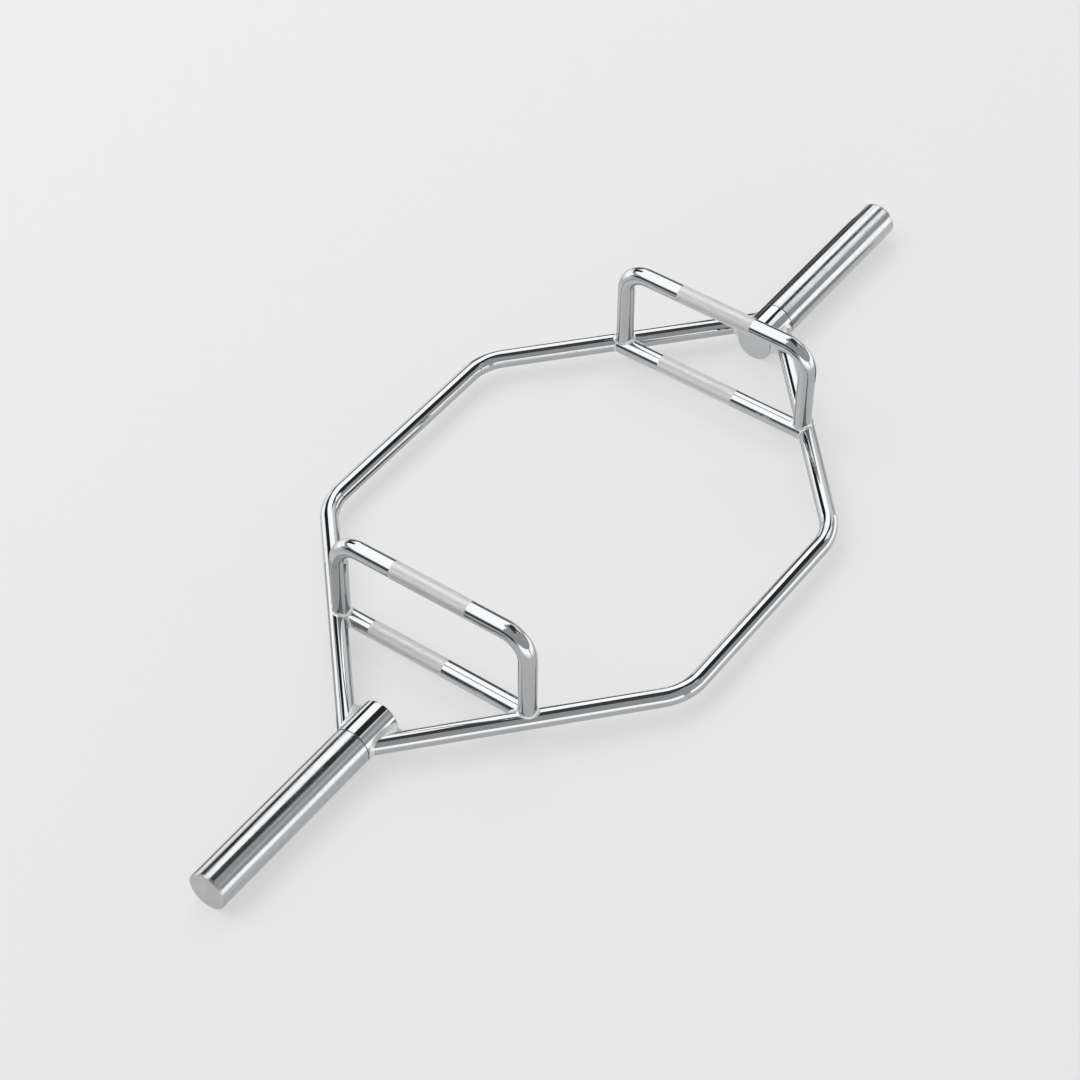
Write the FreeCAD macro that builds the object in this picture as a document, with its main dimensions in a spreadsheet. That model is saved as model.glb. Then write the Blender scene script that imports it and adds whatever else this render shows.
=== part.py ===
import FreeCAD
import Part
import Sketcher
import math
import os

# Driving sizes, in millimetres, with angles in degrees.
# Places along the bar are measured from its middle, heights from the frame's own plane.
sizes = {
    # hubs and plate sleeves
    "sleeve_diameter": 50.0,
    "sleeve_length": 256.3,
    "sleeve_wall": 6.0,
    "hub_inner_face": 401.0,
    "hub_length": 54.5,
    "hub_floor": 8.5,
    "edge_chamfer": 1.0,
    # bearings between sleeve and spindle
    "bush_length": 40.0,
    "bush_wall": 4.0,
    "bush_shoulder": 1.5,
    "running_clearance": 0.05,
    "end_float": 0.2,
    "washer_clearance": 0.3,
    "inner_washer_thickness": 1.0,
    "inner_washer_inset": 2.0,
    "outer_washer_thickness": 2.5,
    "outer_washer_inset": 0.8,
    # retaining ring in the spindle's groove
    "groove_depth": 1.0,
    "groove_width": 1.6,
    "ring_thickness": 1.5,
    "ring_height": 3.2,
    "ring_clearance": 0.05,
    "ring_opening": 9.0,
    "spindle_tip": 4.0,
    # end cap
    "cap_thickness": 3.0,
    "cap_spigot": 10.0,
    "cap_room": 10.0,
    # six-sided frame
    "frame_bar_diameter": 23.5,
    "frame_half_width": 267.4,
    "frame_angle": 41.76,
    "frame_bend_radius": 75.0,
    "hub_edge": 3.9,
    # handles, set back from the point where the frame's slanted runs would cross
    "handle_diameter": 23.0,
    "low_handle_setback": 165.3,
    "raised_handle_setback": 161.8,
    "raised_handle_height": 129.6,
    "raised_bend_radius": 33.0,
    "leg_inset": 7.2,
    # knurled grips, with the smooth length that is left at each end
    "knurl_rise": 0.2,
    "raised_smooth_end": 49.0,
    "left_low_smooth_front": 54.0,
    "left_low_smooth_rear": 131.0,
    "right_low_smooth_front": 70.0,
    "right_low_smooth_rear": 110.0,
}

# Sizes that follow from the driving ones
derived = {
    "hub_radius": "sleeve_diameter / 2",
    "seat_radius": "hub_radius - sleeve_wall",
    "sleeve_bore_radius": "seat_radius - bush_shoulder",
    "bush_bore_radius": "seat_radius - bush_wall",
    "spindle_radius": "bush_bore_radius - running_clearance",
    "groove_radius": "spindle_radius - groove_depth",
    "washer_bore_radius": "spindle_radius + washer_clearance",
    "hub_outer_face": "hub_inner_face + hub_length",
    "spindle_start": "hub_inner_face + hub_floor",
    "sleeve_start": "hub_outer_face + inner_washer_thickness + end_float",
    "sleeve_end": "sleeve_start + sleeve_length",
    "inner_bush_end": "sleeve_start + bush_length",
    "spindle_end": "sleeve_end - cap_spigot - cap_room",
    "groove_end": "spindle_end - spindle_tip",
    "groove_start": "groove_end - groove_width",
    "outer_washer_start": "groove_start - outer_washer_thickness",
    "outer_bush_end": "outer_washer_start - end_float",
    "outer_bush_start": "outer_bush_end - bush_length",
    "cap_end": "sleeve_end + cap_thickness",
    "bar_radius": "frame_bar_diameter / 2",
    "slant_sine": "sin(frame_angle * 1 deg)",
    "slant_tangent": "tan(frame_angle * 1 deg)",
    "frame_point": "hub_outer_face - hub_edge - bar_radius / slant_sine + hub_radius / slant_tangent",
    "slant_length": "frame_half_width / slant_sine",
    "bend_place": "frame_point - frame_half_width / slant_tangent",
    "bend_centre": "bend_place - frame_bend_radius * tan(frame_angle * 0.5 deg)",
    "handle_radius": "handle_diameter / 2",
    "knurl_radius": "handle_radius + knurl_rise",
    "low_place": "frame_point - low_handle_setback",
    "low_reach": "low_handle_setback * slant_tangent",
    "raised_place": "frame_point - raised_handle_setback",
    "leg_place": "raised_handle_setback * slant_tangent - leg_inset",
    "raised_knurl_reach": "leg_place - raised_bend_radius - raised_smooth_end",
}

doc = FreeCAD.newDocument("hex_trap_bar")
sheet = doc.addObject("Spreadsheet::Sheet", "sizes")
for row, (name, number) in enumerate(sizes.items(), start=1):
    sheet.set(f"A{row}", name)
    sheet.set(f"B{row}", str(number))
    sheet.setAlias(f"B{row}", name)
for row, (name, formula) in enumerate(derived.items(), start=len(sizes) + 2):
    sheet.set(f"A{row}", name)
    sheet.set(f"B{row}", "=" + formula)
    sheet.setAlias(f"B{row}", name)
doc.recompute()

CELLS = set(sizes) | set(derived)
ALONG_X = FreeCAD.Rotation(FreeCAD.Vector(0, 1, 0), 90)
ALONG_Y = FreeCAD.Rotation(FreeCAD.Vector(1, 0, 0), -90)
NO_TURN = FreeCAD.Rotation()
HALF_TURN = FreeCAD.Rotation(FreeCAD.Vector(0, 0, 1), 180)
EDGE, START, END, CENTRE = range(4)
Y_AXIS, X_AXIS = range(-2, 0)
ORIGIN_POINT = (X_AXIS, START)

pieces = []


def size(name):
    """The number that a cell of the sheet holds."""
    return float(sheet.get(name))


def bind(target, prop, formula):
    """Ties a property to the sheet: each word of the formula that names a cell is looked up there."""
    words = formula.replace("(", " ( ").replace(")", " ) ").split()
    known = [f"sizes.{word}" if word in CELLS else word for word in words]
    target.setExpression(prop, " ".join(known))


def new_piece(label, left):
    """A body of its own, lifted to the sleeves' height, and turned round for the left side."""
    body = doc.addObject("PartDesign::Body", label)
    body.Label = label
    body.Placement = FreeCAD.Placement(FreeCAD.Vector(), HALF_TURN if left else NO_TURN)
    bind(body, "Placement.Base.z", "hub_radius")
    pieces.append(body)
    return body


def plane(body, role):
    return next(item for item in body.Origin.OriginFeatures if item.Role == role)


def new_sketch(body, name, role, lift=None):
    """A sketch on one of the body's own planes, lifted along the plane's normal where asked."""
    sketch = body.newObject("Sketcher::SketchObject", f"{body.Name}_{name}")
    sketch.AttachmentSupport = [(plane(body, role), "")]
    sketch.MapMode = "FlatFace"
    if lift:
        bind(sketch, "AttachmentOffset.Base.z", lift)
    return sketch


def constrain(sketch, kind, *where, formula=None):
    """Adds one constraint, and ties its value to the sheet when a formula is given."""
    if formula is None:
        sketch.addConstraint(Sketcher.Constraint(kind, *where))
        return
    value = evaluate(formula)
    index = sketch.addConstraint(Sketcher.Constraint(kind, *where, value))
    bind(sketch, f"Constraints[{index}]", formula)


def evaluate(formula):
    """The number that a formula of sums and differences of cells has now."""
    total = 0.0
    sign = 1.0
    for word in formula.split():
        if word == "+":
            sign = 1.0
        elif word == "-":
            sign = -1.0
        else:
            total += sign * size(word)
    return total


def place_point(sketch, line, end, along, out):
    """Fixes one end of a line at a distance along the axis and a radius, either of them a formula."""
    constrain(sketch, "DistanceX", *ORIGIN_POINT, line, end, formula=along)
    if out == "0":
        constrain(sketch, "PointOnObject", line, end, X_AXIS)
    else:
        constrain(sketch, "DistanceY", *ORIGIN_POINT, line, end, formula=out)


def turned(label, left, profile):
    """A lathe-turned piece: a closed profile of (place along the axis, radius), revolved about the axis."""
    body = new_piece(label, left)
    sketch = new_sketch(body, "profile", "XY_Plane")
    points = []
    for along, out in profile:
        radius = 0.0 if out == "0" else evaluate(out)
        points.append(FreeCAD.Vector(evaluate(along), radius, 0))
    count = len(points)
    for index in range(count):
        sketch.addGeometry(Part.LineSegment(points[index], points[(index + 1) % count]), False)
    for index in range(count):
        constrain(sketch, "Coincident", index, END, (index + 1) % count, START)
    for index, (along, out) in enumerate(profile):
        place_point(sketch, index, START, along, out)
    turning = body.newObject("PartDesign::Revolution", f"{label}_turning")
    turning.Profile = sketch
    turning.ReferenceAxis = (sketch, ["H_Axis"])
    turning.Angle = 360.0
    body.Tip = turning
    return body


def tube(label, left, start, end, inner, outer):
    """A plain ring or tube between two places along the axis."""
    return turned(label, left, [(start, inner), (end, inner), (end, outer), (start, outer)])


def rod(body, name, kind, radius, length, direction, **places):
    """A round bar added to a body or cut from it, with its base tied to the sheet."""
    bar = body.newObject(f"PartDesign::{kind}Cylinder", f"{body.Name}_{name}")
    bar.MapMode = "Deactivated"
    bar.Placement = FreeCAD.Placement(FreeCAD.Vector(), direction)
    bind(bar, "Radius", radius)
    bind(bar, "Height", length)
    for axis, formula in places.items():
        bind(bar, f"Placement.Base.{axis}", formula)
    body.Tip = bar
    return bar


def cope_to_frame(body, name, side):
    """Cuts a handle's end to the slanted run of the frame on one side: 1 for the front, -1 for the rear."""
    cut = rod(body, name, "Subtractive", "bar_radius", "slant_length", ALONG_X)
    lean = f"rotation(vector(0; 0; 1); {side} * (180 - sizes.frame_angle)) * rotation(vector(0; 1; 0); 90)"
    cut.setExpression("Placement", f"placement(vector(sizes.frame_point; 0; 0); {lean})")


def half_path(sketch, height, bend_radius, bend_centre, turn, end_place):
    """Half of a bent bar's centre line: a level run from the middle, a bend and a run down to the axis."""
    radius = size(bend_radius)
    centre = FreeCAD.Vector(evaluate(bend_centre), size(height) - radius, 0)
    angles = [math.pi / 2, math.pi / 2 - turn / 2, math.pi / 2 - turn]
    first, middle, last = [centre + FreeCAD.Vector(math.cos(a), math.sin(a), 0) * radius for a in angles]
    sketch.addGeometry(Part.LineSegment(FreeCAD.Vector(0, size(height), 0), first), False)
    sketch.addGeometry(Part.Arc(last, middle, first), False)
    sketch.addGeometry(Part.LineSegment(last, FreeCAD.Vector(size(end_place), 0, 0)), False)
    constrain(sketch, "Tangent", 0, END, 1, END)
    constrain(sketch, "Tangent", 1, START, 2, START)
    constrain(sketch, "PointOnObject", 0, START, Y_AXIS)
    constrain(sketch, "DistanceY", *ORIGIN_POINT, 0, START, formula=height)
    constrain(sketch, "Horizontal", 0)
    constrain(sketch, "Radius", 1, formula=bend_radius)
    constrain(sketch, "DistanceX", *ORIGIN_POINT, 1, CENTRE, formula=bend_centre)
    constrain(sketch, "PointOnObject", 2, END, X_AXIS)
    constrain(sketch, "DistanceX", *ORIGIN_POINT, 2, END, formula=end_place)
    return sketch


def sweep_and_mirror(body, path, role, radius, across, up):
    """Sweeps a round section along half a bar's centre line and mirrors it, in the section's own plane."""
    section = new_sketch(body, "section", role)
    centre = FreeCAD.Vector(evaluate(across), 0.0 if up == "0" else evaluate(up), 0)
    section.addGeometry(Part.Circle(centre, FreeCAD.Vector(0, 0, 1), size(radius)), False)
    constrain(section, "Radius", 0, formula=radius)
    place_point(section, 0, CENTRE, across, up)
    pipe = body.newObject("PartDesign::AdditivePipe", f"{body.Name}_sweep")
    pipe.Profile = section
    pipe.Spine = (path, ["Edge1", "Edge2", "Edge3"])
    body.Tip = pipe
    doc.recompute()
    whole = body.newObject("PartDesign::Mirrored", f"{body.Name}_whole")
    whole.Originals = [pipe]
    whole.MirrorPlane = (plane(body, role), [""])
    body.Tip = whole
    doc.recompute()


def frame_bar(label, rear):
    """One bent bar of the frame, coped to both hubs."""
    body = new_piece(label, rear)
    path = half_path(new_sketch(body, "path", "XY_Plane"), "frame_half_width", "frame_bend_radius",
                     "bend_centre", math.radians(size("frame_angle")), "frame_point")
    sweep_and_mirror(body, path, "YZ_Plane", "bar_radius", "frame_half_width", "0")
    rod(body, "hub_cope", "Subtractive", "hub_radius", "2 * sleeve_end", ALONG_X, x="-1 * sleeve_end")
    return body


def low_handle(label, left, smooth_start, smooth_end):
    """A straight handle in the frame's plane, coped to both frame bars, with its knurled stretch."""
    body = new_piece(label, left)
    rod(body, "bar", "Additive", "handle_radius", "2 * low_reach", ALONG_Y, x="low_place", y="-1 * low_reach")
    rod(body, "knurl", "Additive", "knurl_radius", f"2 * low_reach - {smooth_start} - {smooth_end}",
        ALONG_Y, x="low_place", y=f"{smooth_start} - low_reach")
    cope_to_frame(body, "front_cope", 1)
    cope_to_frame(body, "rear_cope", -1)
    return body


def raised_handle(label, left):
    """A U-shaped handle whose legs are coped to the frame bars and to the low handle below."""
    body = new_piece(label, left)
    path = half_path(new_sketch(body, "path", "YZ_Plane", "raised_place"), "raised_handle_height",
                     "raised_bend_radius", "leg_place - raised_bend_radius", math.pi / 2, "leg_place")
    sweep_and_mirror(body, path, "XZ_Plane", "handle_radius", "raised_place", "raised_handle_height")
    rod(body, "knurl", "Additive", "knurl_radius", "2 * raised_knurl_reach", ALONG_Y,
        x="raised_place", y="-1 * raised_knurl_reach", z="raised_handle_height")
    cope_to_frame(body, "front_cope", 1)
    cope_to_frame(body, "rear_cope", -1)
    rod(body, "low_cope", "Subtractive", "handle_radius", "2 * low_reach", ALONG_Y,
        x="low_place", y="-1 * low_reach")
    return body


def hub(label, left):
    """The boss at the frame's end: closed inside, bored from the outside for the spindle."""
    return turned(label, left, [
        ("hub_inner_face", "0"),
        ("hub_inner_face", "hub_radius - edge_chamfer"),
        ("hub_inner_face + edge_chamfer", "hub_radius"),
        ("hub_outer_face", "hub_radius"),
        ("hub_outer_face", "spindle_radius"),
        ("spindle_start", "spindle_radius"),
        ("spindle_start", "0"),
    ])


def spindle(label, left):
    """The shaft that the sleeve turns on, with its groove for the retaining ring."""
    return turned(label, left, [
        ("spindle_start", "0"),
        ("spindle_start", "spindle_radius"),
        ("groove_start", "spindle_radius"),
        ("groove_start", "groove_radius"),
        ("groove_end", "groove_radius"),
        ("groove_end", "spindle_radius"),
        ("spindle_end - edge_chamfer", "spindle_radius"),
        ("spindle_end", "spindle_radius - edge_chamfer"),
        ("spindle_end", "0"),
    ])


def sleeve(label, left):
    """The plate sleeve: a tube with a bush seat bored in from each end."""
    return turned(label, left, [
        ("sleeve_start", "seat_radius"),
        ("inner_bush_end", "seat_radius"),
        ("inner_bush_end", "sleeve_bore_radius"),
        ("outer_bush_start", "sleeve_bore_radius"),
        ("outer_bush_start", "seat_radius"),
        ("sleeve_end", "seat_radius"),
        ("sleeve_end", "hub_radius"),
        ("sleeve_start", "hub_radius"),
    ])


def end_cap(label, left):
    """The flat disc on the sleeve's outer end, with its spigot in the bush seat."""
    return turned(label, left, [
        ("sleeve_end - cap_spigot", "0"),
        ("sleeve_end - cap_spigot", "seat_radius"),
        ("sleeve_end", "seat_radius"),
        ("sleeve_end", "hub_radius"),
        ("cap_end - edge_chamfer", "hub_radius"),
        ("cap_end", "hub_radius - edge_chamfer"),
        ("cap_end", "0"),
    ])


def retaining_ring(label, left):
    """The open spring ring in the spindle's groove, seated against the groove's outer wall."""
    body = tube(label, left, "groove_end - ring_thickness", "groove_end",
                "groove_radius + ring_clearance", "groove_radius + ring_clearance + ring_height")
    opening = body.newObject("PartDesign::SubtractiveBox", f"{label}_opening")
    opening.MapMode = "Deactivated"
    bind(opening, "Length", "2 * ring_thickness")
    bind(opening, "Width", "ring_opening")
    bind(opening, "Height", "hub_radius")
    bind(opening, "Placement.Base.x", "groove_end - 1.5 * ring_thickness")
    bind(opening, "Placement.Base.y", "-0.5 * ring_opening")
    body.Tip = opening
    return body


def sleeve_end_pieces(side):
    """Hub, spindle, bearings, sleeve and cap of one end."""
    left = side == "left"
    hub(f"{side}_hub", left)
    spindle(f"{side}_spindle", left)
    tube(f"{side}_inner_washer", left, "hub_outer_face", "hub_outer_face + inner_washer_thickness",
         "washer_bore_radius", "hub_radius - inner_washer_inset")
    tube(f"{side}_inner_bush", left, "sleeve_start", "inner_bush_end", "bush_bore_radius", "seat_radius")
    tube(f"{side}_outer_bush", left, "outer_bush_start", "outer_bush_end", "bush_bore_radius", "seat_radius")
    tube(f"{side}_outer_washer", left, "outer_washer_start", "groove_start",
         "washer_bore_radius", "seat_radius - outer_washer_inset")
    retaining_ring(f"{side}_retaining_ring", left)
    sleeve(f"{side}_sleeve", left)
    end_cap(f"{side}_end_cap", left)


def write_pieces():
    """Stops on any failed object or shape, then writes each piece to its own file."""
    doc.recompute()
    for item in doc.Objects:
        if "Invalid" in item.State or "Error" in item.State:
            raise RuntimeError(f"{item.Label} failed to build: {item.State}")
    for body in pieces:
        if body.Shape.isNull() or not body.Shape.isValid() or len(body.Shape.Solids) != 1:
            raise RuntimeError(f"{body.Label} is not one sound solid")
    os.makedirs("parts", exist_ok=True)
    for body in pieces:
        body.Shape.exportStep(f"parts/{body.Label}.step")
        print(f"{body.Label}: {body.Shape.Volume / 1000:.1f} cm3")


frame_bar("front_frame_bar", False)
frame_bar("rear_frame_bar", True)
# The left side is turned round, so its handle starts at the front and ends at the rear.
low_handle("left_low_handle", True, "left_low_smooth_front", "left_low_smooth_rear")
low_handle("right_low_handle", False, "right_low_smooth_rear", "right_low_smooth_front")
for side_name in ("left", "right"):
    raised_handle(f"{side_name}_raised_handle", side_name == "left")
    sleeve_end_pieces(side_name)
write_pieces()
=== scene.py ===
import bmesh
import bpy
import math
from mathutils import Matrix, Vector


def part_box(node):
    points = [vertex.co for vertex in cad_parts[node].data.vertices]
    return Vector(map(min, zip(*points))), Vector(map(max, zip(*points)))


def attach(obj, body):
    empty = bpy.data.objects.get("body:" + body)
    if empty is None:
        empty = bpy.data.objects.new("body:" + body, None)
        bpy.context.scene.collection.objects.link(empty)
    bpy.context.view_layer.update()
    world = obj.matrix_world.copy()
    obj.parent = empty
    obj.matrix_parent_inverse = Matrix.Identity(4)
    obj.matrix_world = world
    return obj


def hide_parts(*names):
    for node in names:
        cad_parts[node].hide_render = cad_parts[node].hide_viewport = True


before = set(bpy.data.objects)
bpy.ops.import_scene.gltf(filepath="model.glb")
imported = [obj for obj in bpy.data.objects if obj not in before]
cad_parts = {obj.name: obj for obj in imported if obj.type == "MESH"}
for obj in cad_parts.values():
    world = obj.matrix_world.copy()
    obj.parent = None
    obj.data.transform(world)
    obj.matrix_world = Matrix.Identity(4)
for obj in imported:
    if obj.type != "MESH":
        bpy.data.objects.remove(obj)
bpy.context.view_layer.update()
scene = bpy.context.scene
scene.view_settings.view_transform = "Standard"
sides = {"left": -1, "right": 1}
up = Vector((0, 0, 1))
along = Vector((1, 0, 0))  # the sleeves' axis
across = Vector((0, 1, 0))


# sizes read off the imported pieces, in metres
def middle(node):
    low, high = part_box(node)
    return (low + high) / 2


def span(node):
    low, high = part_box(node)
    return high - low


axisHeight = middle("right_sleeve").z
hubRadius = span("right_sleeve").z / 2
hubInner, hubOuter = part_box("right_hub")[0].x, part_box("right_hub")[1].x
sleeveStart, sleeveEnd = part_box("right_sleeve")[0].x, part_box("right_sleeve")[1].x
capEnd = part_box("right_end_cap")[1].x
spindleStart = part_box("right_spindle")[0].x
spindleRadius = span("right_spindle").z / 2
seatRadius = span("right_inner_bush").z / 2
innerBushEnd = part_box("right_inner_bush")[1].x
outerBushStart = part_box("right_outer_bush")[0].x
barRadius = span("front_frame_bar").z / 2
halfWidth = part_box("front_frame_bar")[1].y - barRadius
knurlRadius = span("right_low_handle").z / 2
lowPlace = middle("right_low_handle").x
raisedPlace = middle("right_raised_handle").x
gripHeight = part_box("right_raised_handle")[1].z - knurlRadius


# camera, fitted to the outlines of the bar in the photograph
photoCamera = {
    "place": (-2.168683, -1.464230, 2.673847),
    "turn": (44.2298, -0.4624, -54.4467),  # degrees
    "lens": 100.08,                        # mm
    "sensor": 36.0,                        # mm across
}
camera = bpy.data.objects.new("photo_camera", bpy.data.cameras.new("photo_camera"))
camera.data.lens = photoCamera["lens"]
camera.data.sensor_width = photoCamera["sensor"]
camera.location = photoCamera["place"]
camera.rotation_euler = [math.radians(a) for a in photoCamera["turn"]]
scene.collection.objects.link(camera)
scene.camera = camera
print("camera set")


# node helpers
def put(tree, kind, sockets=None, **settings):
    node = tree.nodes.new(kind)
    for name, value in settings.items():
        setattr(node, name, value)
    for socket, value in (sockets or {}).items():
        if isinstance(value, bpy.types.NodeSocket):
            tree.links.new(value, node.inputs[socket])
        else:
            node.inputs[socket].default_value = value
    return node


def maths(tree, operation, *values):
    return put(tree, "ShaderNodeMath", dict(enumerate(values)), operation=operation).outputs[0]


def mapRange(tree, value, low, high, toLow=0.0, toHigh=1.0):
    return put(tree, "ShaderNodeMapRange", {"Value": value, "From Min": low, "From Max": high,
                                            "To Min": toLow, "To Max": toHigh}).outputs[0]


def newGroup(name, inputs, outputs):
    group = bpy.data.node_groups.new(name, "ShaderNodeTree")
    for socket, value in inputs.items():
        made = group.interface.new_socket(socket, in_out="INPUT", socket_type="NodeSocketFloat")
        made.default_value = value
    for socket in outputs:
        group.interface.new_socket(socket, in_out="OUTPUT", socket_type="NodeSocketFloat")
    return group, put(group, "NodeGroupInput").outputs, put(group, "NodeGroupOutput").inputs


def useGroup(tree, group, **values):
    node = put(tree, "ShaderNodeGroup", node_tree=group)
    for socket, value in values.items():
        node.inputs[socket].default_value = value
    return node.outputs


# soft clouds of handling haze, and the fine grain that a polishing mop leaves
mopMarks = {"hazeFrom": 0.38, "hazeTo": 0.72, "cloudDetail": 4.0, "grainScale": 900.0, "grainDetail": 2.0}


def polishGroup():
    group, given, out = newGroup("mop_polish", {"Size": 20.0, "Smooth": 0.05, "Hazy": 0.1},
                                 ("Roughness", "Haze", "Height"))
    place = put(group, "ShaderNodeTexCoord").outputs["Object"]
    clouds = put(group, "ShaderNodeTexNoise", {"Vector": place, "Scale": given["Size"],
                                               "Detail": mopMarks["cloudDetail"]})
    haze = mapRange(group, clouds.outputs["Fac"], mopMarks["hazeFrom"], mopMarks["hazeTo"])
    fine = put(group, "ShaderNodeTexNoise", {"Vector": place, "Scale": mopMarks["grainScale"],
                                             "Detail": mopMarks["grainDetail"]})
    group.links.new(mapRange(group, haze, 0.0, 1.0, given["Smooth"], given["Hazy"]), out["Roughness"])
    group.links.new(haze, out["Haze"])
    group.links.new(fine.outputs["Fac"], out["Height"])
    return group


# fine rings that a lathe tool leaves round the sleeves' axis, and wider bands of tone
latheMarks = {"ringDetail": 2.0, "bandScale": 130.0, "bandDetail": 3.0}


def turningGroup():
    group, given, out = newGroup("turning_marks", {"Pitch": 0.0006}, ("Height", "Streaks"))
    place = put(group, "ShaderNodeTexCoord").outputs["Object"]
    split = put(group, "ShaderNodeSeparateXYZ", {"Vector": place}).outputs
    step = maths(group, "DIVIDE", split["X"], given["Pitch"])
    rings = put(group, "ShaderNodeTexNoise", {"W": step, "Scale": 1.0, "Detail": latheMarks["ringDetail"]},
                noise_dimensions="1D")
    bands = put(group, "ShaderNodeTexNoise", {"W": split["X"], "Scale": latheMarks["bandScale"],
                                              "Detail": latheMarks["bandDetail"]}, noise_dimensions="1D")
    group.links.new(rings.outputs["Fac"], out["Height"])
    group.links.new(bands.outputs["Fac"], out["Streaks"])
    return group


# long fine lines drawn along the sleeves, and duller rubs where plates have slid on and off
rubMarks = {"rubFrom": 0.60, "rubTo": 0.72, "detail": 2.0}


def rubGroup():
    group, given, out = newGroup("plate_rubs", {"Length": 9.0, "Fineness": 420.0, "Amount": 0.5},
                                 ("Mask", "Height"))
    place = put(group, "ShaderNodeTexCoord").outputs["Object"]
    split = put(group, "ShaderNodeSeparateXYZ", {"Vector": place}).outputs
    drawn = put(group, "ShaderNodeCombineXYZ", {
        "X": maths(group, "MULTIPLY", split["X"], given["Length"]),
        "Y": maths(group, "MULTIPLY", split["Y"], given["Fineness"]),
        "Z": maths(group, "MULTIPLY", split["Z"], given["Fineness"]),
    }).outputs[0]
    grain = put(group, "ShaderNodeTexNoise", {"Vector": drawn, "Scale": 1.0, "Detail": rubMarks["detail"]})
    cut = mapRange(group, grain.outputs["Fac"], rubMarks["rubFrom"], rubMarks["rubTo"], 0.0, given["Amount"])
    group.links.new(cut, out["Mask"])
    group.links.new(grain.outputs["Fac"], out["Height"])
    return group


polish = polishGroup()
turning = turningGroup()
rubs = rubGroup()


def newMetal(name):
    material = bpy.data.materials.new(name)
    material.use_nodes = True
    tree = material.node_tree
    shader = tree.nodes["Principled BSDF"]
    shader.inputs["Metallic"].default_value = 1.0
    return material, tree, shader.inputs


def mopped(tree, look):
    return useGroup(tree, polish, Size=look["hazeSize"], Smooth=look["smooth"], Hazy=look["hazy"])


def blendColours(tree, mask, clear, dull):
    mix = put(tree, "ShaderNodeMix", {"Factor": mask}, data_type="RGBA")
    mix.inputs["A"].default_value = (*clear, 1)
    mix.inputs["B"].default_value = (*dull, 1)
    return mix.outputs["Result"]


def bump(tree, height, depth):
    return put(tree, "ShaderNodeBump", {"Height": height, "Distance": depth, "Strength": 1.0}).outputs[0]


# bright plate over a polished bar
def polishedChrome(name, look):
    material, tree, shader = newMetal(name)
    mop = mopped(tree, look)
    tree.links.new(blendColours(tree, mop["Haze"], look["clear"], look["dull"]), shader["Base Color"])
    tree.links.new(mop["Roughness"], shader["Roughness"])
    tree.links.new(bump(tree, mop["Height"], look["grain"]), shader["Normal"])
    return material


frameLook = {"hazeSize": 17.0, "smooth": 0.012, "hazy": 0.035, "grain": 0.000001,
             "clear": (0.475, 0.485, 0.495), "dull": (0.45, 0.458, 0.466)}
# painted highlight: the weld plate is coloured far lighter than the bar plate, so that the fillets look
# bright whatever they reflect
weldLook = {"hazeSize": 60.0, "smooth": 0.42, "hazy": 0.52, "grain": 0.000004,
            "clear": (0.78, 0.785, 0.79), "dull": (0.72, 0.725, 0.73)}
frameChrome = polishedChrome("frame_chrome_plate", frameLook)
handleChrome = polishedChrome("handle_chrome_plate", dict(frameLook, hazeSize=26.0))
weldChrome = polishedChrome("weld_chrome_plate", weldLook)


# satin plate on the knurl, with a painted highlight that makes it bright on the crests and painted shade that
# makes it darker down in the grooves
knurlLook = {"hazeSize": 45.0, "smooth": 0.38, "hazy": 0.45, "grain": 0.000006,
             "crest": (0.82, 0.82, 0.828), "groove": (0.54, 0.54, 0.546)}


def knurledPlate():
    material, tree, shader = newMetal("knurl_satin_chrome")
    mop = mopped(tree, knurlLook)
    # the crest mark carries the painted light: 1 on the crest corners gives the painted highlight colour, 0
    # on the groove floors gives the painted shade colour
    crest = put(tree, "ShaderNodeAttribute", attribute_name="crest").outputs["Fac"]
    tree.links.new(blendColours(tree, crest, knurlLook["groove"], knurlLook["crest"]), shader["Base Color"])
    tree.links.new(mop["Roughness"], shader["Roughness"])
    tree.links.new(bump(tree, mop["Height"], knurlLook["grain"]), shader["Normal"])
    return material


knurlChrome = knurledPlate()


# chrome over turning marks, rubbed by plates
sleeveLook = {"hazeSize": 30.0, "smooth": 0.12, "hazy": 0.19, "ringPitch": 0.0005, "ringDepth": 0.000010,
              "lineDepth": 0.00006, "lineFrom": 0.32, "lineTo": 0.68, "lineShare": 0.6, "rub": 0.12,
              "clear": (0.54, 0.55, 0.562), "dull": (0.385, 0.392, 0.40)}


def sleevePlate():
    material, tree, shader = newMetal("sleeve_chrome_plate")
    mop = mopped(tree, sleeveLook)
    marks = useGroup(tree, turning, Pitch=sleeveLook["ringPitch"])
    rub = useGroup(tree, rubs)
    rough = maths(tree, "ADD", mop["Roughness"], maths(tree, "MULTIPLY", rub["Mask"], sleeveLook["rub"]))
    rings = maths(tree, "MULTIPLY", marks["Height"], sleeveLook["ringDepth"])
    relief = maths(tree, "ADD", rings, maths(tree, "MULTIPLY", rub["Height"], sleeveLook["lineDepth"]))
    lines = mapRange(tree, rub["Height"], sleeveLook["lineFrom"], sleeveLook["lineTo"])
    streaks = put(tree, "ShaderNodeMix", {"Factor": sleeveLook["lineShare"], "A": marks["Streaks"],
                                          "B": lines}).outputs["Result"]
    tree.links.new(blendColours(tree, streaks, sleeveLook["clear"], sleeveLook["dull"]), shader["Base Color"])
    tree.links.new(rough, shader["Roughness"])
    tree.links.new(bump(tree, relief, 1.0), shader["Normal"])
    return material


# satin plate with the faint rings of a facing cut
capLook = {"ringPitch": 0.0006, "ringDepth": 0.000004, "hazeSize": 60.0, "smooth": 0.24, "hazy": 0.34,
           "clear": (0.47, 0.47, 0.478), "dull": (0.43, 0.43, 0.436)}


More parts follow.
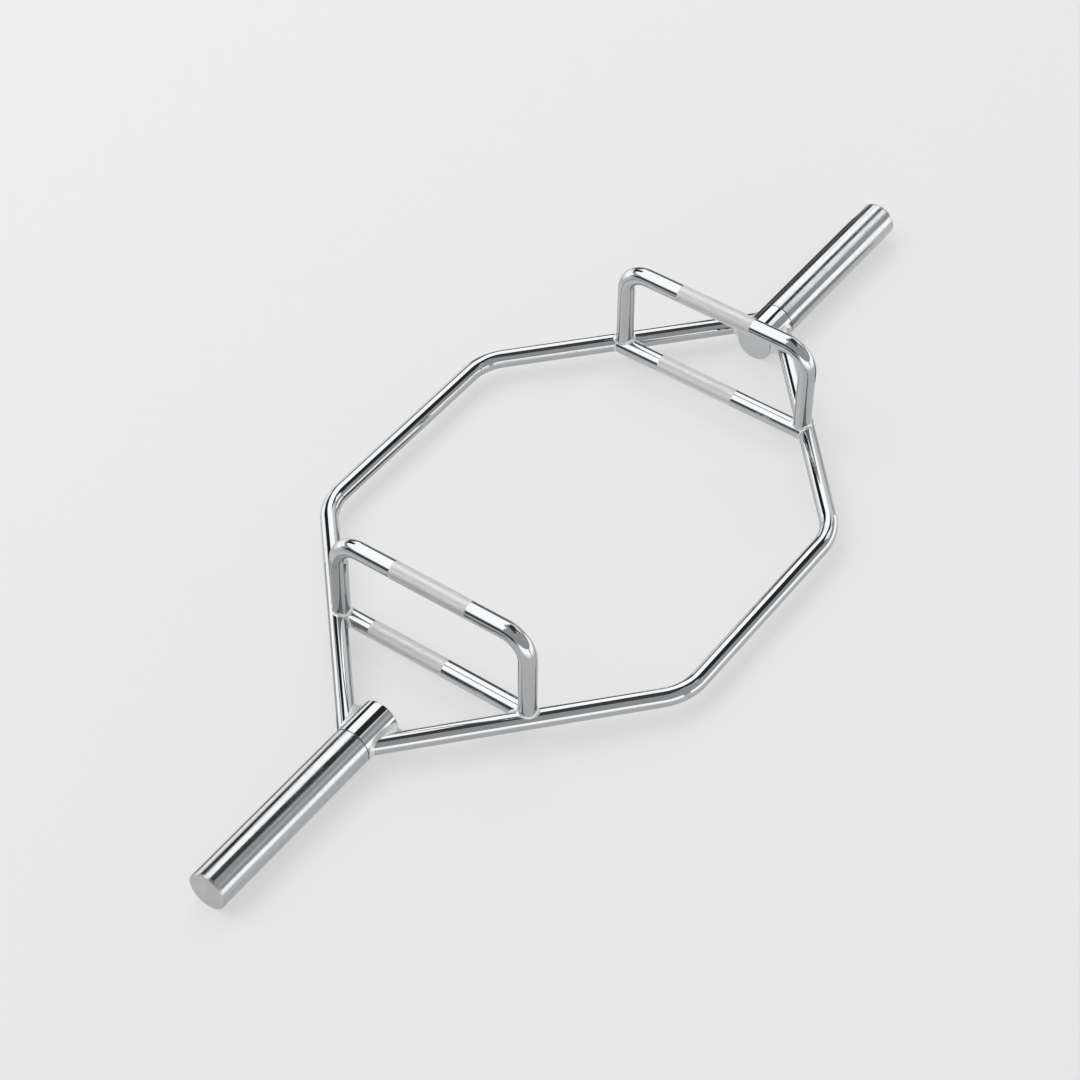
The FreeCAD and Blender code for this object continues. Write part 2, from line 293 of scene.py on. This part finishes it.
def facedPlate():
    material, tree, shader = newMetal("cap_satin_chrome")
    mop = mopped(tree, capLook)
    place = put(tree, "ShaderNodeTexCoord").outputs["Object"]
    flat = put(tree, "ShaderNodeVectorMath", {0: place, 1: (0, 1, 1)}, operation="MULTIPLY").outputs[0]
    fromAxis = put(tree, "ShaderNodeVectorMath", {0: flat, 1: (0, 0, axisHeight)}, operation="DISTANCE")
    step = maths(tree, "DIVIDE", fromAxis.outputs["Value"], capLook["ringPitch"])
    rings = put(tree, "ShaderNodeTexNoise", {"W": step, "Scale": 1.0, "Detail": 1.0}, noise_dimensions="1D")
    tree.links.new(blendColours(tree, mop["Haze"], capLook["clear"], capLook["dull"]), shader["Base Color"])
    tree.links.new(mop["Roughness"], shader["Roughness"])
    tree.links.new(bump(tree, rings.outputs["Fac"], capLook["ringDepth"]), shader["Normal"])
    return material


sleeveChrome = sleevePlate()
capChrome = facedPlate()
innerLooks = {
    "spindle": {"hazeSize": 60.0, "smooth": 0.18, "hazy": 0.3, "grain": 0.00001,
                "clear": (0.56, 0.56, 0.57), "dull": (0.40, 0.39, 0.37)},
    "bush": {"hazeSize": 250.0, "smooth": 0.35, "hazy": 0.5, "grain": 0.00003,
             "clear": (0.60, 0.42, 0.22), "dull": (0.45, 0.30, 0.15)},
    "washer": {"hazeSize": 120.0, "smooth": 0.25, "hazy": 0.4, "grain": 0.00001,
               "clear": (0.50, 0.50, 0.51), "dull": (0.42, 0.43, 0.46)},
    "retaining_ring": {"hazeSize": 200.0, "smooth": 0.4, "hazy": 0.55, "grain": 0.00002,
                       "clear": (0.12, 0.12, 0.13), "dull": (0.07, 0.07, 0.08)},
}
for piece, look in innerLooks.items():
    finish = polishedChrome(f"{piece}_finish", look)
    for name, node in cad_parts.items():
        if name.endswith(piece):
            node.data.materials.clear()
            node.data.materials.append(finish)
print("finishes made:", len(bpy.data.materials))


# mesh helpers
def arcAtCorner(before, corner, after, radius, step):
    into = (corner - before).normalized()
    away = (after - corner).normalized()
    turn = into.angle(away)
    axis = into.cross(away).normalized()
    start = corner - into * radius * math.tan(turn / 2)
    centre = start + axis.cross(into) * radius
    count = max(2, math.ceil(turn / step))
    spins = [Matrix.Rotation(turn * k / count, 3, axis) for k in range(count + 1)]
    return [(centre + spin @ (start - centre), spin @ into) for spin in spins]


# extra stations just inside the ends of each long straight run, so that its reflections stay straight
barInset, rimInset = 0.001, 0.0004


def steadied(stations, inset=barInset, closed=False):
    steady = []
    ahead = stations[1:] + (stations[:1] if closed else stations[-1:])
    for (here, course), (there, _) in zip(stations, ahead):
        steady.append((here, course))
        run = (there - here).normalized()
        if (there - here).length > 5 * inset:
            steady += [(here + run * inset, run), (there - run * inset, run)]
    return steady


# stations (point, direction) along straight runs with round bends between them
def bentPath(corners, radius, step=math.radians(2.5)):
    corners = [Vector(c) for c in corners]
    stations = [(corners[0], (corners[1] - corners[0]).normalized())]
    for before, corner, after in zip(corners, corners[1:], corners[2:]):
        stations += arcAtCorner(before, corner, after, radius, step)
    stations.append((corners[-1], (corners[-1] - corners[-2]).normalized()))
    return steadied(stations)


def ringAt(mesh, centre, tangent, flat, radius, count, turn=0.0):
    side = tangent.cross(flat)
    angles = [2 * math.pi * (k + turn) / count for k in range(count)]
    return [mesh.verts.new(centre + (flat * math.cos(a) + side * math.sin(a)) * radius) for a in angles]


def joinRings(mesh, first, second, finish=0):
    count = max(len(first), len(second))
    faces = []
    for k in range(count):
        corners = [first[k % len(first)], first[(k + 1) % len(first)],
                   second[(k + 1) % len(second)], second[k % len(second)]]
        faces.append(mesh.faces.new(dict.fromkeys(corners)))
    for face in faces:
        face.material_index = finish


def closeRing(mesh, ring):
    centre = sum((v.co for v in ring), Vector()) / len(ring)
    joinRings(mesh, ring, [mesh.verts.new(centre)])


# how far along a line it first meets one of the round supports (point, direction, radius), and which
def firstMeeting(point, direction, supports, grow=0.0):
    best = None
    for which, (origin, axis, radius) in enumerate(supports):
        gap = point - origin
        gap = gap - axis * gap.dot(axis)
        course = direction - axis * direction.dot(axis)
        a, b = course.length_squared, gap.dot(course)
        root = b * b - a * (gap.length_squared - (radius + grow) ** 2)
        if root > 0:
            reach = (-b - math.sqrt(root)) / a
            if best is None or reach < best[0]:
                best = (reach, which)
    return best


# an end ring cut to the surface that it is welded to, and sunk a little into it
copeSink = 0.0008


def copeRing(ring, direction, supports):
    for vert in ring:
        reach = firstMeeting(vert.co, direction, supports)[0]
        vert.co = vert.co + direction * (reach + copeSink)


def addPiece(name, mesh, body, finishes, nodes=(), sharp=35):
    bmesh.ops.recalc_face_normals(mesh, faces=mesh.faces)
    data = bpy.data.meshes.new(name)
    mesh.to_mesh(data)
    mesh.free()
    for face in data.polygons:
        face.use_smooth = face.material_index == 0  # the knurl stays flat
    data.set_sharp_from_angle(angle=math.radians(sharp))
    for finish in finishes:
        data.materials.append(finish)
    piece = bpy.data.objects.new(name, data)
    scene.collection.objects.link(piece)
    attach(piece, body)
    if nodes:
        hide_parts(*nodes)


# the six-sided frame: two bars, each bent twice
frameShape = {
    "slant": math.radians(41.76),  # slanted runs against the sleeves' axis
    "bendRadius": 0.075,
    "hubEdge": 0.0039,             # from a bar's outer side to the hub's outer face
    "facets": 64,
}
slant = frameShape["slant"]
framePoint = hubOuter - frameShape["hubEdge"] - barRadius / math.sin(slant) + hubRadius / math.tan(slant)
bendPlace = framePoint - halfWidth / math.tan(slant)
sleeveLine = (Vector((0, 0, axisHeight)), along, hubRadius)


# the slanted run of the frame in one corner, as a round support
def slantedRun(side, end):
    direction = Vector((side * math.cos(slant), -end * math.sin(slant), 0))
    return Vector((side * framePoint, 0, axisHeight)), direction, barRadius


for name, end in {"front": 1, "rear": -1}.items():
    corners = [(-framePoint, 0, axisHeight), (-bendPlace, end * halfWidth, axisHeight),
               (bendPlace, end * halfWidth, axisHeight), (framePoint, 0, axisHeight)]
    mesh = bmesh.new()
    stations = bentPath(corners, frameShape["bendRadius"])
    rings = [ringAt(mesh, point, course, up, barRadius, frameShape["facets"]) for point, course in stations]
    copeRing(rings[0], -stations[0][1], [sleeveLine])
    copeRing(rings[-1], stations[-1][1], [sleeveLine])
    for first, second in zip(rings, rings[1:]):
        joinRings(mesh, first, second)
    closeRing(mesh, rings[0])
    closeRing(mesh, rings[-1])
    addPiece(f"{name}_bent_bar", mesh, "frame", [frameChrome], [f"{name}_frame_bar"])
print("frame bars bent")


# handles with a diamond knurl cut into the middle of the grip
knurl = {
    "around": 40,        # diamonds round the bar
    "length": 0.0030,    # one diamond along the bar
    "depth": 0.00020,
    "crest": 0.36,       # share of a diamond that is left flat on top
    "rise": 0.0002,      # of the crests above the plain bar
    "shoulder": 0.0003,
}
handleRadius = knurlRadius - knurl["rise"]


def knurlBand(mesh, start, end, course, flat):
    count, step = knurl["around"], 2 * math.pi / knurl["around"]
    rows = 2 * round((end - start).length / knurl["length"])
    pitch = (end - start).length / rows
    floorRadius = knurlRadius - knurl["depth"]
    side = course.cross(flat)
    crestMark = mesh.verts.layers.float["crest"]
    bottoms = [ringAt(mesh, start + course * pitch * row, course, flat, floorRadius, count, 0.5 * (row % 2))
               for row in range(rows + 1)]

    def crest(row, angle):
        out = flat * math.cos(angle) + side * math.sin(angle)
        corner = mesh.verts.new(start + course * pitch * row + out * knurlRadius)
        corner[crestMark] = 1.0
        return corner

    def face(*corners):
        mesh.faces.new(corners).material_index = 1

    for row in range(rows + 1):
        odd = row % 2
        for k in range(count):
            left, right = bottoms[row][k], bottoms[row][(k + 1) % count]
            between = (k + odd) % count
            if row == 0:
                face(left, right, bottoms[1][between])
                continue
            if row == rows:
                face(left, right, bottoms[row - 1][between])
                continue
            angle = (k + 0.5 + 0.5 * odd) * step
            reach = knurl["crest"]
            base = [left, bottoms[row - 1][between], right, bottoms[row + 1][between]]
            top = [crest(row, angle - reach * step / 2), crest(row - reach, angle),
                   crest(row, angle + reach * step / 2), crest(row + reach, angle)]
            for j in range(4):
                face(base[j], base[(j + 1) % 4], top[(j + 1) % 4], top[j])
            face(*top)
    return bottoms[0], bottoms[-1]


# a handle: its path before the knurl, the knurled stretch, and its path after it
def buildHandle(name, node, before, after, flat, startSupports, endSupports):
    mesh = bmesh.new()
    mesh.verts.layers.float.new("crest")
    shoulder = knurl["shoulder"]
    count = knurl["around"]
    before, after = steadied(before), steadied(after)
    (start, course), (end, _) = before[-1], after[0]
    first = [ringAt(mesh, point, run, flat, handleRadius, count) for point, run in before]
    last = [ringAt(mesh, point, run, flat, handleRadius, count) for point, run in after]
    copeRing(first[0], -before[0][1], startSupports)
    copeRing(last[-1], after[-1][1], endSupports)
    low, high = knurlBand(mesh, start + course * shoulder, end - course * shoulder, course, flat)
    for rings in (first + [low], [high] + last):
        for one, two in zip(rings, rings[1:]):
            joinRings(mesh, one, two)
    closeRing(mesh, first[0])
    closeRing(mesh, last[-1])
    addPiece(name, mesh, "frame", [handleChrome, knurlChrome], [node], sharp=18)


lowHandle = {"left": {"front": 0.054, "rear": 0.131}, "right": {"front": 0.070, "rear": 0.110}}  # smooth ends
raisedHandle = {"bendRadius": 0.033, "smoothEnd": 0.049}
lowReach = (framePoint - lowPlace) * math.tan(slant)
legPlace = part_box("right_raised_handle")[1].y - handleRadius
gripReach = legPlace - raisedHandle["bendRadius"] - raisedHandle["smoothEnd"]
lowLines = {side: (Vector((sign * lowPlace, 0, axisHeight)), across, handleRadius)
            for side, sign in sides.items()}

for side, sign in sides.items():
    smooth = lowHandle[side]
    places = [-lowReach, smooth["rear"] - lowReach, lowReach - smooth["front"], lowReach]
    stations = [(Vector((sign * lowPlace, y, axisHeight)), across) for y in places]
    buildHandle(f"{side}_low_grip", f"{side}_low_handle", stations[:2], stations[2:], up,
                [slantedRun(sign, -1)], [slantedRun(sign, 1)])

    corners = [(sign * raisedPlace, -legPlace, axisHeight), (sign * raisedPlace, -legPlace, gripHeight),
               (sign * raisedPlace, legPlace, gripHeight), (sign * raisedPlace, legPlace, axisHeight)]
    stations = bentPath(corners, raisedHandle["bendRadius"])
    half = len(stations) // 2
    grip = [(Vector((sign * raisedPlace, y, gripHeight)), across) for y in (-gripReach, gripReach)]
    buildHandle(f"{side}_raised_grip", f"{side}_raised_handle", stations[:half] + grip[:1],
                grip[1:] + stations[half:], along,
                [slantedRun(sign, -1), lowLines[side]], [slantedRun(sign, 1), lowLines[side]])
print("handles bent and knurled")


# where a ball rests that touches both a bar and what it is welded to: its centre, and the way to the support
def ballInCorner(foot, away, out, radius, supports, ball):
    reach, which = firstMeeting(foot + out * (radius + ball), -away, supports, ball)
    centre = foot + out * (radius + ball) - away * reach
    origin, axis, _ = supports[which]
    gap = centre - origin
    return centre, -(gap - axis * gap.dot(axis)).normalized()


# fillet of weld round a bar's end, as a ball would leave it when rolled along the joint, and then part filled
beadRoot = 0.0004    # how far a bead's root lies below the surface
beadShrink = 0.97    # step in which the ball gets smaller until it fits


def weldBead(name, foot, away, radius, supports, bead, limits=None):
    mesh = bmesh.new()
    flat = away.orthogonal().normalized()
    side = away.cross(flat)
    rings = []
    for k in range(bead["turns"]):
        angle = 2 * math.pi * k / bead["turns"]
        out = flat * math.cos(angle) + side * math.sin(angle)
        ball = bead["radius"] * (1 + bead["uneven"] * math.sin(3 * angle + bead["start"]))
        centre, inward = ballInCorner(foot, away, out, radius, supports, ball)
        while limits and not limits[0] < abs((centre + inward * ball).x) < limits[1]:
            ball *= beadShrink
            centre, inward = ballInCorner(foot, away, out, radius, supports, ball)
        ring = []
        for j in range(bead["steps"] + 1):
            share = j / bead["steps"]
            swing = (-out).slerp(inward, share)
            ripple = bead["ripple"] * math.sin(bead["ripples"] * angle) * math.sin(math.pi * share)
            hollow = centre + swing * (ball - ripple)
            filled = centre + (-out).lerp(inward, share) * ball
            ring.append(mesh.verts.new(hollow.lerp(filled, bead["fill"])))
        corner = foot + out * radius
        ring.append(mesh.verts.new(corner - away * (firstMeeting(corner, -away, supports)[0] + beadRoot)))
        rings.append(ring)
    for first, second in zip(rings, rings[1:] + rings[:1]):
        joinRings(mesh, first, second)
    addPiece(name, mesh, "frame", [weldChrome], sharp=60)


hubBead = {"radius": 0.0078, "fill": 0.5, "turns": 96, "steps": 8,
           "ripple": 0.00010, "ripples": 30, "uneven": 0.04, "start": 0.4,
           "innerClear": 0.0013, "outerClear": 0.0006}
handleBead = {"radius": 0.0028, "fill": 0.3, "turns": 80, "steps": 6,
              "ripple": 0.00008, "ripples": 24, "uneven": 0.08, "start": 1.3}
legBead = {"radius": 0.0034, "fill": 0.3, "turns": 80, "steps": 6,
           "ripple": 0.00008, "ripples": 24, "uneven": 0.08, "start": 2.1}
hubLimits = (hubInner + hubBead["innerClear"], hubOuter - hubBead["outerClear"])

for side, sign in sides.items():
    for name, end in {"front": 1, "rear": -1}.items():
        run = slantedRun(sign, end)
        weldBead(f"{side}_{name}_hub_weld", run[0], -run[1], barRadius, [sleeveLine], hubBead, hubLimits)
        lowEnd = Vector((sign * lowPlace, end * lowReach, axisHeight))
        legFoot = Vector((sign * raisedPlace, end * legPlace, axisHeight))
        weldBead(f"{side}_{name}_handle_weld", lowEnd, -end * across, handleRadius, [run], handleBead)
        weldBead(f"{side}_{name}_leg_weld", legFoot, up, handleRadius, [run, lowLines[side]], legBead)
print("welds laid")


# turned pieces: a profile of (place, radius, rounding) spun about the sleeves' axis
turned = {"facets": 128, "rimStep": math.radians(18)}


def spinProfile(name, body, finish, node, sign, profile):
    points = [Vector((x, r, 0)) for x, r, _ in profile]
    outline = []
    for k, (_, _, rounding) in enumerate(profile):
        before, after = points[k - 1], points[(k + 1) % len(points)]
        if rounding:
            outline += [p for p, _ in arcAtCorner(before, points[k], after, rounding, turned["rimStep"])]
        else:
            outline.append(points[k])
    mesh = bmesh.new()
    rings = []
    for p, _ in steadied([(p, None) for p in outline], rimInset, closed=points[0].y > 0):
        centre = Vector((sign * p.x, 0, axisHeight))
        if p.y > 0:
            rings.append(ringAt(mesh, centre, along, up, p.y, turned["facets"]))
        else:
            rings.append([mesh.verts.new(centre)])
    for first, second in zip(rings, rings[1:] + rings[:1]):
        if len(first) + len(second) > 2:
            joinRings(mesh, first, second)
    addPiece(name, mesh, body, [finish], [node])


hubBoss = {"innerRim": 0.0010, "outerRim": 0.0002}
plateSleeve = {"innerRim": 0.0002, "outerRim": 0.0003, "boreStep": 0.0015}
sleeveCap = {"rim": 0.0010, "seam": 0.0003, "spigot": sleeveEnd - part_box("right_end_cap")[0].x}

for side, sign in sides.items():
    spinProfile(f"{side}_hub_boss", "frame", frameChrome, f"{side}_hub", sign, [
        (hubInner, 0, 0),
        (hubInner, hubRadius, hubBoss["innerRim"]),
        (hubOuter, hubRadius, hubBoss["outerRim"]),
        (hubOuter, spindleRadius, 0),
        (spindleStart, spindleRadius, 0),
        (spindleStart, 0, 0),
    ])
    boreRadius = seatRadius - plateSleeve["boreStep"]
    body = f"{side}_sleeve"
    spinProfile(f"{side}_plate_sleeve", body, sleeveChrome, f"{side}_sleeve", sign, [
        (sleeveStart, seatRadius, 0),
        (innerBushEnd, seatRadius, 0),
        (innerBushEnd, boreRadius, 0),
        (outerBushStart, boreRadius, 0),
        (outerBushStart, seatRadius, 0),
        (sleeveEnd, seatRadius, 0),
        (sleeveEnd, hubRadius, plateSleeve["outerRim"]),
        (sleeveStart, hubRadius, plateSleeve["innerRim"]),
    ])
    spinProfile(f"{side}_sleeve_cap", body, capChrome, f"{side}_end_cap", sign, [
        (sleeveEnd - sleeveCap["spigot"], 0, 0),
        (sleeveEnd - sleeveCap["spigot"], seatRadius, 0),
        (sleeveEnd, seatRadius, 0),
        (sleeveEnd, hubRadius, sleeveCap["seam"]),
        (capEnd, hubRadius, sleeveCap["rim"]),
        (capEnd, 0, 0),
    ])
print("hubs, sleeves and caps turned")


# pale floor that keeps the bar's shadow, and only glows near the foot of the light tent
floorLook = {"reach": 25.0, "matte": 0.36, "glow": 0.50, "roughness": 0.1, "gloss": 0.9,
             "fadeStart": 2.3, "fadeEnd": 4.5, "farGlow": 0.80}


def paleFloor():
    material = bpy.data.materials.new("pale_floor")
    material.use_nodes = True
    tree = material.node_tree
    shader = tree.nodes["Principled BSDF"].inputs
    shader["Roughness"].default_value = floorLook["roughness"]
    shader["Emission Color"].default_value = (1, 1, 1, 1)
    place = put(tree, "ShaderNodeTexCoord").outputs["Object"]
    away = put(tree, "ShaderNodeVectorMath", {0: place}, operation="LENGTH").outputs["Value"]

    def faded(near, far):
        return mapRange(tree, away, floorLook["fadeStart"], floorLook["fadeEnd"], near, far)

    ray = put(tree, "ShaderNodeLightPath").outputs
    seen = maths(tree, "MAXIMUM", ray["Is Camera Ray"], ray["Is Glossy Ray"])
    seen = maths(tree, "MAXIMUM", seen, ray["Is Transmission Ray"])
    glow = maths(tree, "MULTIPLY", seen, faded(floorLook["glow"], floorLook["farGlow"]))
    gloss = maths(tree, "MULTIPLY", ray["Is Glossy Ray"], floorLook["gloss"])
    tree.links.new(faded(floorLook["matte"], 0.0), shader["Base Color"])
    tree.links.new(glow, shader["Emission Strength"])
    tree.links.new(gloss, shader["Specular IOR Level"])
    return material


mesh = bmesh.new()
bmesh.ops.create_grid(mesh, x_segments=1, y_segments=1, size=floorLook["reach"])
data = bpy.data.meshes.new("studio_floor")
mesh.to_mesh(data)
mesh.free()
data.materials.append(paleFloor())
floor = bpy.data.objects.new("studio_floor", data)
scene.collection.objects.link(floor)

worldGrey = 0.80
world = bpy.data.worlds.new("pale_studio")
world.use_nodes = True
world.node_tree.nodes["Background"].inputs["Color"].default_value = (worldGrey, worldGrey, worldGrey, 1)
scene.world = world


def hangPanel(name, mesh, brightness):
    material = bpy.data.materials.new(name)
    material.use_nodes = True
    tree = material.node_tree
    tree.nodes.remove(tree.nodes["Principled BSDF"])
    grey = (brightness, brightness, brightness, 1)
    light = put(tree, "ShaderNodeEmission", {"Color": grey, "Strength": 1.0})
    tree.links.new(light.outputs[0], tree.nodes["Material Output"].inputs["Surface"])
    data = bpy.data.meshes.new(name)
    mesh.to_mesh(data)
    mesh.free()
    data.materials.append(material)
    panel = bpy.data.objects.new(name, data)
    scene.collection.objects.link(panel)
    panel.visible_camera = False
    return panel


# panels of the light tent round the bar: bearings in degrees from +Y towards +X, heights in degrees above
# the floor, lean in degrees of bearing from foot to top
panelStep = 6    # degrees


def tentPanel(name, bearings, heights, distance, brightness, lean=0):
    mesh = bmesh.new()
    steps = max(2, round(abs(bearings[1] - bearings[0]) / panelStep))
    levels = max(2, round(abs(heights[1] - heights[0]) / panelStep))
    rows = []
    for j in range(levels + 1):
        height = math.radians(heights[0] + (heights[1] - heights[0]) * j / levels)
        row = []
        for k in range(steps + 1):
            bearing = bearings[0] + (bearings[1] - bearings[0]) * k / steps + lean * j / levels
            turn = math.radians(bearing)
            level = math.cos(height) * distance
            row.append(mesh.verts.new((level * math.sin(turn), level * math.cos(turn),
                                       math.sin(height) * distance)))
        rows.append(row)
    for low, high in zip(rows, rows[1:]):
        for k in range(steps):
            mesh.faces.new((low[k], low[k + 1], high[k + 1], high[k]))
    hangPanel(name, mesh, brightness)


tentPanels = {
    "grey_tent": {"bearings": (-180, 180), "heights": (-1, 89.5), "distance": 6.6, "brightness": 0.53},
    "front_glow": {"bearings": (-25, 14), "heights": (-1, 19), "distance": 6.4, "brightness": 1.85},
    "front_low_glow": {"bearings": (14, 38), "heights": (-1, 9), "distance": 6.4, "brightness": 1.6},
    "front_mid_glow": {"bearings": (14, 25.5), "heights": (9, 18), "distance": 6.4, "brightness": 1.2},
    "front_fill": {"bearings": (29, 45), "heights": (20, 29), "distance": 6.4, "brightness": 0.8},
    "right_glow": {"bearings": (100, 175), "heights": (-1, 12.5), "distance": 6.4, "brightness": 1.95},
    "side_panel": {"bearings": (76, 100), "heights": (13, 41), "distance": 6.4, "brightness": 1.1},
    "rear_glow": {"bearings": (-175, -110), "heights": (-1, 14), "distance": 6.4, "brightness": 1.95},
    "far_dark": {"bearings": (39, 53), "heights": (-1, 16.5), "distance": 6.45, "brightness": 0.06},
    "far_dark_tall": {"bearings": (53, 77), "heights": (-1, 19), "distance": 6.45, "brightness": 0.06},
    "left_dark": {"bearings": (-100, -40), "heights": (-1, 20), "distance": 6.45, "brightness": 0.07},
    "main_softbox": {"bearings": (-72, 79), "heights": (29, 72), "distance": 6.2, "brightness": 2.0},
    "softbox_foot": {"bearings": (46, 57), "heights": (18.5, 30), "distance": 6.2, "brightness": 2.0},
    "dark_flag": {"bearings": (74.5, 130), "heights": (40, 60), "distance": 6.0,
                  "brightness": 0.04, "lean": 4},
    "high_flag": {"bearings": (65, 127), "heights": (60, 69), "distance": 6.0,
                  "brightness": 0.04, "lean": -5},
    "top_flag": {"bearings": (55, 215), "heights": (68, 89), "distance": 5.9, "brightness": 0.09},
    "notch_flag": {"bearings": (6, 31), "heights": (20, 48.5), "distance": 6.0,
                   "brightness": 0.03, "lean": -3},
    "notch_foot": {"bearings": (25.5, 45), "heights": (10, 20.5), "distance": 6.0, "brightness": 0.04},
    "side_patch": {"bearings": (103, 122.5), "heights": (31.5, 46), "distance": 5.9,
                   "brightness": 1.7, "lean": -10.5},
    "edge_strip": {"bearings": (126, 138), "heights": (53, 57.5), "distance": 5.8, "brightness": 1.3},
    "rear_fill": {"bearings": (142, 156), "heights": (27, 39), "distance": 6.0, "brightness": 0.75},
}
for name, panel in tentPanels.items():
    tentPanel(name, **panel)

# painted shade: dark cards on the floor, seen only as reflections in the sleeves, bars and handles, that
# darken the reflected floor round the bar
floorShadeCards = {
    "far_floor_card": {"corners": ((0.46, 0.028), (0.70, 0.032), (0.93, 0.24), (1.20, 0.56), (0.70, 0.56),
                                   (0.46, 0.28)), "brightness": 0.08},
    "near_floor_card": {"corners": ((-0.71, 0.03), (-0.42, 0.03), (-0.42, 0.16), (-0.71, 0.16)),
                        "brightness": 0.30},
    "far_side_card": {"corners": ((0.51, -0.30), (0.71, -0.30), (0.71, -0.06), (0.51, -0.06)),
                      "brightness": 0.42},
    "far_bar_card": {"corners": ((0.41, -0.24), (0.51, -0.24), (0.51, -0.055), (0.43, -0.055)),
                     "brightness": 0.15},
    "left_inner_card": {"corners": ((-0.278, -0.12), (-0.05, -0.12), (0.05, 0.02), (0.05, 0.22),
                                    (-0.12, 0.22), (-0.16, 0.05), (-0.278, 0.03)), "brightness": 0.10},
    "left_front_card": {"corners": ((-0.43, 0.06), (-0.24, 0.23), (-0.24, 0.36), (-0.43, 0.19)),
                        "brightness": 0.58},
}
cardHeight = 0.002
for name, card in floorShadeCards.items():
    mesh = bmesh.new()
    mesh.faces.new([mesh.verts.new((x, y, cardHeight)) for x, y in card["corners"]])
    panel = hangPanel(name, mesh, card["brightness"])
    # the painted shade shows in glossy reflections only: the cards give no diffuse light and cast no shadow
    panel.visible_diffuse = False
    panel.visible_shadow = False
print("studio set")
